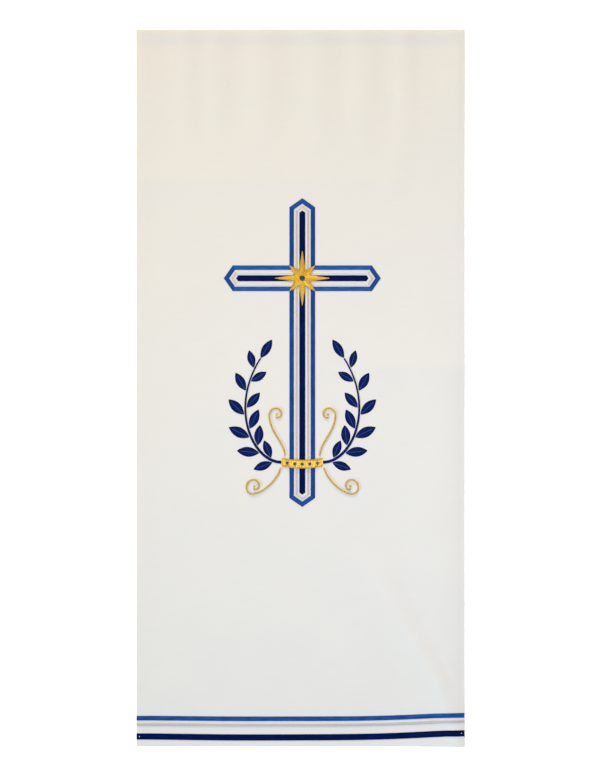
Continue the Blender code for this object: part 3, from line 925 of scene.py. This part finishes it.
branch = {
    "route": ((0.0350, -0.1240), (0.0820, -0.1240), (0.1240, -0.0350), (0.0700, 0.0500)),
    "points": 61,
    "stemWidth": (0.0050, 0.0024),
    "stemHeight": 0.0014,
    "stemRidges": 0.0010,
    "stemPlaces": (0.0, 0.38, 0.72, 0.93, 1.0),
    # place along the branch, side, length, width
    "leaves": [
        (0.095, 1, 0.033, 0.0145), (0.140, -1, 0.031, 0.0140), (0.265, 1, 0.037, 0.0165),
        (0.325, -1, 0.034, 0.0155), (0.435, 1, 0.038, 0.0170), (0.500, -1, 0.035, 0.0155),
        (0.610, 1, 0.036, 0.0160), (0.675, -1, 0.033, 0.0145), (0.785, 1, 0.034, 0.0150),
        (0.855, -1, 0.030, 0.0135), (0.940, 1, 0.030, 0.0130), (1.000, 0, 0.036, 0.0145),
    ],
    "leafAngle": 41,
    "leafFullness": 0.80,
    "leafOffStem": 0.0006,
    "leafHeight": 0.0015,
    "leafValley": 0.58,
    "edgePower": 6,  # the higher, the squarer the leaf's edge
    "domePower": 0.8,  # below 1, its dome and its ends are full
    "endPower": 0.35,
    "stitchPitch": 0.0010,
    "stitchHeight": 0.00012,
    "stitchLean": 0.30,
    "linesPerStitch": 3,
    "acrossPlaces": (0.0, 0.14, 0.32, 0.55, 0.80, 0.93, 1.0),
    "veinRadius": 0.00038,
    "veinReach": (0.04, 0.86),
    "veinPoints": 26,
    "veinLift": 0.7,
}


def bezier(points, count):
    a, b, c, d = (np.array(point) for point in points)
    t = np.linspace(0, 1, count)[:, None]
    return (1 - t) ** 3 * a + 3 * t * (1 - t) ** 2 * b + 3 * t ** 2 * (1 - t) * c + t ** 3 * d


def onSide(points, mirror):
    # Beside the cross: on its right for a mirror of 1, on its left for -1
    return points * np.array([mirror, 1]) + np.array([cross["x"], 0])


def leafFrame(place, side):
    # Where a leaf starts and which way it points
    line = bezier(branch["route"], branch["points"])
    i = round(place * (branch["points"] - 1))
    heading = headings(line)[i]
    turn = math.radians(-side * branch["leafAngle"])
    along = np.array([heading[0] * math.cos(turn) - heading[1] * math.sin(turn),
                      heading[0] * math.sin(turn) + heading[1] * math.cos(turn)])
    stemHalf = np.interp(place, (0, 1), branch["stemWidth"]) / 2
    off = branch["leafOffStem"]
    return line[i] + side * (stemHalf + off) * rightOf(heading) + off * along, along


def leafShell(place, side, length, width, mirror):
    # Two halves of satin stitch that slant from the vein out to the edge: rows at s along the leaf,
    # from the vein at s less its lean to the edge at s plus its lean, domed across each half
    root, along = leafFrame(place, side)
    stitches = round(length / branch["stitchPitch"])
    s = np.linspace(0, 1, stitches * branch["linesPerStitch"] + 1)[:, None]
    lean = branch["stitchLean"] * s * (1 - s)
    t = bothSides(branch["acrossPlaces"])
    reach = np.abs(t)
    edge = np.clip(s + lean, 0, 1)
    halfAt = width / 2 * np.clip(np.sin(math.pi * edge), 0, 1) ** branch["leafFullness"]
    forward = length * ((s - lean) * (1 - reach) + edge * reach)
    aside = t * halfAt
    flat = root + forward[..., None] * along + aside[..., None] * rightOf(along)
    valley, crown = branch["leafValley"], np.sin(math.pi * reach) ** branch["domePower"]
    dome = (1 - reach ** branch["edgePower"]) * (valley + (1 - valley) * crown)
    ridges = branch["stitchHeight"] * (1 - np.abs(np.cos(math.pi * stitches * s)))
    ends = np.clip(np.sin(math.pi * s), 0, 1) ** branch["endPower"]
    rise = ends * dome * (branch["leafHeight"] - ridges)
    points = overFace(onSide(flat, mirror), ribbon["clearance"], rise)
    return stripShell(points[:, ::mirror], stacked(s * length, aside)[:, ::mirror])


def veinShell(place, side, length, mirror):
    # A thread down the valley between the halves
    root, along = leafFrame(place, side)
    low, high = branch["veinReach"]
    s = np.linspace(low, high, branch["veinPoints"])
    flat = onSide(root + (s * length)[:, None] * along, mirror)
    rise = branch["leafHeight"] * branch["leafValley"] * np.sin(math.pi * s) ** branch["endPower"]
    line = overFace(flat, rise, branch["veinRadius"] * branch["veinLift"])
    return tubeShell(line, taperedEnds(len(s), branch["veinRadius"]), 6)


def stemShell(mirror):
    # A strip of slanting satin stitch along the branch's line, domed across and closed at its ends
    line, along = evenly(bezier(branch["route"], branch["points"]), ribbon["step"])
    heading = headings(line)
    half = np.interp(along, (0, along[-1]), branch["stemWidth"])[:, None] / 2
    t = bothSides(branch["stemPlaces"])
    flat = onSide(line[:, None] + (half * t)[..., None] * rightOf(heading)[:, None], mirror)
    fromEnd = np.minimum(along, along[-1] - along)[:, None]
    slant = np.abs(np.sin(math.pi * (along[:, None] + half * t) / branch["stemRidges"]))
    body = np.sqrt(1 - t ** 4) * shoulder(fromEnd, ribbon["shoulder"])
    rise = body * (branch["stemHeight"] - branch["stitchHeight"] * (1 - slant))
    points = overFace(flat, ribbon["clearance"], rise)
    return stripShell(points[:, ::mirror], stacked(along[:, None] + half * t, half * t)[:, ::mirror])


def branchPieces(sideName, mirror):
    # The stem, its twelve leaves and their veins
    title = sideName.capitalize()
    made = [addPiece("stem" + title, stemShell(mirror), "navySatin", ["stem_" + sideName])]
    for number, row in enumerate(branch["leaves"], start=1):
        made.append(addPiece(f"leaf{title}{number}", leafShell(*row, mirror), "navySatin",
                             [f"leaf_{sideName}_{number}"]))
    veins = [veinShell(place, side, length, mirror) for place, side, length, _ in branch["leaves"]]
    made.append(addPiece("veins" + title, joinShells(veins), "blueThread"))
    return made


branchParts = branchPieces("right", 1) + branchPieces("left", -1)
print("branches stitched")


# The tendrils

tendril = {
    "diameter": 0.0029,
    "pitch": 0.0058,
    "turn": 290,
    "points": 32,
    # route from the band, radius at the start of the curl and at its end
    "lower": (((0.0360, -0.1325), (0.0440, -0.1640), (0.0935, -0.1960), (0.0935, -0.1640)), 0.0130, 0.0050),
    "upper": (((0.0290, -0.1140), (0.0290, -0.0900), (0.0555, -0.0740), (0.0555, -0.0440)), 0.0125, 0.0050),
    "couchingPitch": 0.0085,
    "couchingLength": 0.0032,
    "couchingRadius": 0.00022,
    "couchingLift": 0.0002,
    "beadRadius": 0.0019,
    "beadFlatness": 0.85,
}


def tendrilLine(route, curlStart, curlEnd):
    # Out from the band, then round in a curl whose radius shrinks evenly
    sweep = bezier(route, tendril["points"])
    centre = sweep[-1] - np.array([curlStart, 0])
    angle = np.linspace(0, math.radians(tendril["turn"]), tendril["points"])[1:, None]
    radius = np.linspace(curlStart, curlEnd, tendril["points"])[1:, None]
    curl = centre + radius * np.hstack([np.cos(angle), np.sin(angle)])
    return np.concatenate([sweep, curl]), centre


def beadShell(x, y, z, radius, rings=9, sides=14):
    # A sphere, a little flattened, with its poles above and below
    across = np.linspace(0, math.pi, rings)
    around = np.linspace(0, 2 * math.pi, sides, endpoint=False)
    ringRadius = radius * np.sin(across)[:, None]
    points = stacked(x + ringRadius * np.cos(around), y + ringRadius * np.sin(around),
                     z + tendril["beadFlatness"] * radius * np.cos(across)[:, None])
    lie = stacked(across[:, None] * radius, around * radius)
    return points.reshape(-1, 3), gridQuads(rings, sides, closedColumns=True)[:, ::-1], [], lie.reshape(-1, 2)


def tendrilPieces(sideName, mirror):
    # A twisted cord with couching threads across it, and a bead in its curl
    made = []
    beadRadius, diameter = tendril["beadRadius"], tendril["diameter"]
    for place in ("lower", "upper"):
        flat, centre = (onSide(points, mirror) for points in tendrilLine(*tendril[place]))
        cord = twistedCord(overFace(flat, ribbon["clearance"], diameter / 2), diameter, tendril["pitch"])
        title = place.capitalize() + sideName.capitalize()
        made.append(addPiece("tendril" + title, cord, "goldCord",
                             [f"tendril_{place}_{sideName}"]))
        path, _ = evenly(flat, tendril["couchingPitch"])
        path, heading = path[1:-1], headings(path)[1:-1]
        ties = stitchesShell(overFace(path, tendril["couchingLift"]), rightOf(heading),
                             tendril["couchingLength"], tendril["couchingRadius"], diameter)
        bead = beadShell(*centre, faceHeight(*centre) + beadRadius * tendril["beadFlatness"], beadRadius)
        made.append(addPiece("couching" + title, joinShells([ties, bead]), "goldCord"))
    return made


tendrilParts = tendrilPieces("right", 1) + tendrilPieces("left", -1)
print("tendrils couched down")


# The gold band that ties the branches

tie = {
    "y": -0.1240,
    "halfWidth": 0.0345,
    "halfHeight": 0.0070,
    "sag": 0.0032,
    "ramp": 0.0060,
    "rampStart": 0.0003,
    "lift": 0.0016,
    "height": 0.0012,
    "step": 0.0003,
    "ridgePitch": 0.0012,
    "ridgeHeight": 0.00016,
    "places": (-1.0, -0.97, -0.90, -0.75, -0.45, -0.10, 0.25, 0.60, 0.85, 0.95, 1.0),
    "edgePower": 8,
    "rimDiameter": 0.0020,
    "rimPitch": 0.0042,
    "rimInset": 0.35,  # as a share of its diameter
    "rimPoints": 80,
    "stones": 5,
    "stoneSpacing": 0.0125,
    "stoneRadius": 0.0024,
    "stoneHeight": 0.0013,
    "stoneSink": 0.0001,
    "settingGap": 0.0003,
    "settingDiameter": 0.0009,
}


def tieLine(x):
    return tie["y"] - tie["sag"] * (1 - (x / tie["halfWidth"]) ** 2)


def tieLift(x):
    # The band passes over the cross and comes down to the cloth beside it
    return tie["lift"] * smooth(1 - (np.abs(x) - cross["outline"]["half"] - tie["rampStart"]) / tie["ramp"])


def stoneShell(x, y, z, radius, height, sides):
    # A cut stone: a short girdle, a crown of two rows of facets, the upper one turned half a step, a table
    step = math.pi / sides
    rings = [(0.90, 0.0, 0), (1.0, 0.22, 0), (0.84, 0.66, 1), (0.56, 1.0, 0)]  # radius, height, half steps
    angle = -np.arange(sides) * 2 * step
    points = np.array([stacked(x + radius * wide * np.cos(angle + turn * step),
                               y + radius * wide * np.sin(angle + turn * step),
                               z + height * high) for wide, high, turn in rings])
    last = (len(rings) - 1) * sides
    caps = [list(range(sides)), list(range(last, last + sides))[::-1]]
    quads = gridQuads(len(rings), sides, closedColumns=True)[:, ::-1]
    return points.reshape(-1, 3), quads, caps, np.zeros((len(rings) * sides, 2))


def tieBand():
    # Upright satin stitch, domed across the band, with a twisted cord along both edges and five stones
    halfWide = tie["halfWidth"]
    x = np.linspace(halfWide, -halfWide, round(2 * halfWide / tie["step"]) + 1)[:, None]
    t = np.array(tie["places"])
    y = tieLine(x) + t * tie["halfHeight"]
    ridges = tie["ridgeHeight"] * (1 - np.abs(np.sin(math.pi * x / tie["ridgePitch"])))
    ends = shoulder(halfWide - np.abs(x), ribbon["shoulder"])
    rise = np.sqrt(1 - t ** tie["edgePower"]) * ends * (tie["height"] - ridges)
    flat, lie = stacked(cross["x"] + x, y), stacked(x, t * tie["halfHeight"])
    shell = stripShell(overFace(flat, ribbon["clearance"], tieLift(x), rise), lie)
    made = [addPiece("tieBand", shell, "goldSatin", ["tie_band"])]
    rims, stones, settings = [], [], []
    rimX = np.linspace(-halfWide, halfWide, tie["rimPoints"])
    for side in (-1, 1):
        rimY = tieLine(rimX) + side * (tie["halfHeight"] - tie["rimDiameter"] * tie["rimInset"])
        line = overFace(np.column_stack([cross["x"] + rimX, rimY]), tieLift(rimX), tie["height"])
        rims.append(twistedCord(line, tie["rimDiameter"], tie["rimPitch"]))
    made.append(addPiece("tieBandCords", joinShells(rims), "goldCord"))
    radius, sink = tie["stoneRadius"], tie["stoneSink"]
    for i in range(tie["stones"]):
        stoneX = (i - (tie["stones"] - 1) / 2) * tie["stoneSpacing"]
        x, y = cross["x"] + stoneX, tieLine(stoneX)
        top = faceHeight(x, y) + tieLift(stoneX) + tie["height"]
        stones.append(stoneShell(x, y, top - sink, radius, tie["stoneHeight"], 12))
        settings.append(ringCord(x, y, top + sink, radius + tie["settingGap"], tie["settingDiameter"]))
    made.append(addPiece("tieBandStones", joinShells(stones), "glass", sharpAngle=12))
    made.append(addPiece("tieBandSettings", joinShells(settings), "goldCord"))
    return made


def ringCord(x, y, z, radius, diameter):
    # A fine twisted cord laid in a ring
    angle = np.linspace(0, 2 * math.pi, winding["ringPoints"], endpoint=False)
    line = stacked(x + radius * np.cos(angle), y + radius * np.sin(angle), z)
    return twistedCord(line, diameter, diameter * winding["ringPitch"], sides=5, looped=True)


tieParts = tieBand()
print("tie band set")


# The star where the arms meet

star = {
    "rays": 8,
    "long": 0.0450,
    "short": 0.0298,
    "waist": 0.0132,
    "base": 0.0034,
    "edge": 0.0007,
    "rise": 0.0012,
    "ridgePitch": 0.0011,
    "ridgeHeight": 0.00015,
    "linesPerRidge": 3,
    "hubFade": 0.003,
    "edgePower": 10,
    "tipPower": 24,
    "places": (0.0, 0.10, 0.30, 0.55, 0.80, 0.94, 1.0),
    "cordDiameter": 0.0012,
    "cordPitch": 0.0026,
    "cordOffset": 0.0004,
    "stoneRadius": 0.0045,
    "stoneHeight": 0.0015,
    "settingGap": 0.0005,
    "settingDiameter": 0.0013,
}


def starCorner(step, radius):
    # A corner of the star, by half steps from one ray to the next
    angle = step * math.pi / star["rays"]
    return radius * np.array([math.cos(angle), math.sin(angle)])


def rayShell(ray):
    # Rows of stitches from the ridge out to the edge: s from the hub to the tip, t from edge to edge
    reach = star["short"] if ray % 2 else star["long"]
    tip = starCorner(2 * ray, reach)
    left, right = starCorner(2 * ray + 1, star["waist"]), starCorner(2 * ray - 1, star["waist"])
    stitches = round(reach / star["ridgePitch"])
    s = np.linspace(0, 1, stitches * star["linesPerRidge"] + 1)[:, None]
    t = bothSides(star["places"])
    side = np.where(t[:, None] < 0, left, right)
    ridge = s[..., None] * tip
    edge = side + s[..., None] * (tip - side)
    share = np.abs(t)
    flat = ridge + share[:, None] * (edge - ridge) + np.array([cross["x"], cross["y"]])
    fade = smooth(s * reach / star["hubFade"])
    ridges = fade * star["ridgeHeight"] * (1 - np.abs(np.cos(math.pi * stitches * s)))
    wall = np.sqrt(1 - share ** star["edgePower"]) * np.sqrt(1 - s ** star["tipPower"])
    z = star["base"] + wall * (star["edge"] - ridges + star["rise"] * (1 - s) * (1 - share))
    lie = stacked(s * reach, t * star["waist"] / 2)
    return stripShell(stacked(flat[..., 0], flat[..., 1], z), lie, closedEnds=False)


def starPieces():
    shells = [rayShell(ray) for ray in range(star["rays"])]
    points, quads, ends, lie = joinShells(shells)
    starts = np.cumsum([0] + [len(shell[0]) for shell in shells[:-1]])
    ends.append((starts[::-1] + 2 * len(star["places"]) - 2).tolist())  # the underside between the waists
    made = [addPiece("starRays", (points, quads, ends, lie), "goldSatin", ["star"])]
    reaches = [star["long"], star["waist"], star["short"], star["waist"]]
    corners = [starCorner(step, reaches[step % 4] + star["cordOffset"]) for step in range(2 * star["rays"])]
    outline = np.array(corners) + np.array([cross["x"], cross["y"]])
    line = np.column_stack([outline, np.full(len(outline), star["base"] + star["cordDiameter"] / 4)])
    cord = twistedCord(line, star["cordDiameter"], star["cordPitch"], sides=5, looped=True)
    made.append(addPiece("starCord", cord, "goldCord"))
    hub = cross["x"], cross["y"], star["base"] + star["edge"] + star["rise"]
    radius = star["stoneRadius"]
    stone = stoneShell(*hub, radius, star["stoneHeight"], 16)
    made.append(addPiece("starStone", stone, "glass", ["star_stone"], sharpAngle=12))
    setting = ringCord(*hub, radius + star["settingGap"], star["settingDiameter"])
    made.append(addPiece("starSetting", setting, "goldCord"))
    return made


starParts = starPieces()
print("star set")


# White tacking stitches that hold the navy band's ends

tacking = {
    "places": [(-0.2695, -0.5831), (0.2690, -0.5768)],
    "length": 0.0021,
    "radius": 0.00034,
    "lift": 0.0004,
    "arch": 0.0003,
    "angles": (38, 118),
}


def tackingStitches():
    middles, directions = [], []
    for x, y in tacking["places"]:
        for angle in tacking["angles"]:
            middles.append((x, y))
            directions.append((math.cos(math.radians(angle)), math.sin(math.radians(angle))))
    middles = overFace(np.array(middles), ribbon["thickness"], tacking["lift"])
    shell = stitchesShell(middles, np.array(directions), tacking["length"], tacking["radius"],
                          tacking["arch"])
    return addPiece("tackingStitches", shell, "whiteThread")


tackingPiece = tackingStitches()
print("ends tacked")


# Floor, light and camera

studio = {
    "floorSize": 9.0,
    "floorDrop": 0.0004,
    "floorColour": "#fbfbfa",
    "floorGlow": 0.45,
    "worldStrength": 0.432,
    # name, place, size, colour, power in watts
    "lights": [
        ("warmLamp", (-0.8, 5.2, 2.4), 1.2, "#ffe49e", 182.0),
        ("windowLight", (-4.6, -2.4, 2.5), 1.2, "#b2e4ff", 154.0),
        ("softbox", (0.33, -0.26, 1.5), 0.7, "#ccdeff", 12.0),
        ("warmFill", (-0.35, 0.45, 1.8), 0.8, "#ffca80", 7.6),
    ],
    "cameraHeight": 4.0,
    "faceLevel": 0.0024,  # the height that is framed
    "cameraAim": (-0.0008, -0.0031),
    "frameHeight": 1.3059,
    "sensor": 36.0,
}


def floorMaterial():
    # Opal sheet, lit softly from below: near white, with a very faint mottle and hardly a shadow on it
    material, tree, shader = startMaterial("opalSheet", {
        "Roughness": 0.95,
        "Specular IOR Level": 0.1,
        "Emission Color": (1.0, 1.0, 1.0, 1.0),
        "Emission Strength": studio["floorGlow"],
    })
    place = addNode(tree, "ShaderNodeTexCoord")
    mottle = addNode(tree, "ShaderNodeTexNoise", {"Scale": 3.0, "Detail": 2.0}, {"Vector": (place, "Object")})
    ramp = addNode(tree, "ShaderNodeValToRGB", None, {"Fac": (mottle, "Fac")})
    fillRamp(ramp, [(0.3, studio["floorColour"]), (0.7, "#ffffff")])
    joinUp(tree, shader, {"Base Color": (ramp, "Color")})
    return material


def aimAt(obj, target):
    # Turns an object's -Z towards a point
    away = obj.location - type(obj.location)(target)
    obj.rotation_euler = away.to_track_quat("Z", "Y").to_euler()


def makeStudio():
    scene = bpy.context.scene
    bpy.ops.mesh.primitive_plane_add(size=studio["floorSize"], location=(0, 0, -studio["floorDrop"]))
    floor = bpy.context.active_object
    floor.name = "floor"
    floor.data.materials.append(floorMaterial())
    world = bpy.data.worlds.new("studioWorld")
    world.use_nodes = True
    background = world.node_tree.nodes["Background"]
    background.inputs["Color"].default_value = (1.0, 1.0, 1.0, 1.0)
    background.inputs["Strength"].default_value = studio["worldStrength"]
    scene.world = world
    for name, place, size, colour, power in studio["lights"]:
        light = bpy.data.lights.new(name, "AREA")
        light.shape = "DISK"
        light.size = size
        light.energy = power
        light.color = linearColour(colour)[:3]
        lamp = bpy.data.objects.new(name, light)
        lamp.location = place
        lamp.visible_camera = False
        scene.collection.objects.link(lamp)
        aimAt(lamp, (0.0, 0.0, 0.0))
    lens = bpy.data.cameras.new("camera")
    lens.sensor_width = studio["sensor"]
    lens.lens = studio["sensor"] * (studio["cameraHeight"] - studio["faceLevel"]) / studio["frameHeight"]
    camera = bpy.data.objects.new("camera", lens)
    camera.location = (*studio["cameraAim"], studio["cameraHeight"])
    scene.collection.objects.link(camera)
    scene.camera = camera
    scene.view_settings.view_transform = "Standard"
    scene.view_settings.look = "None"


makeStudio()
print("studio lit")
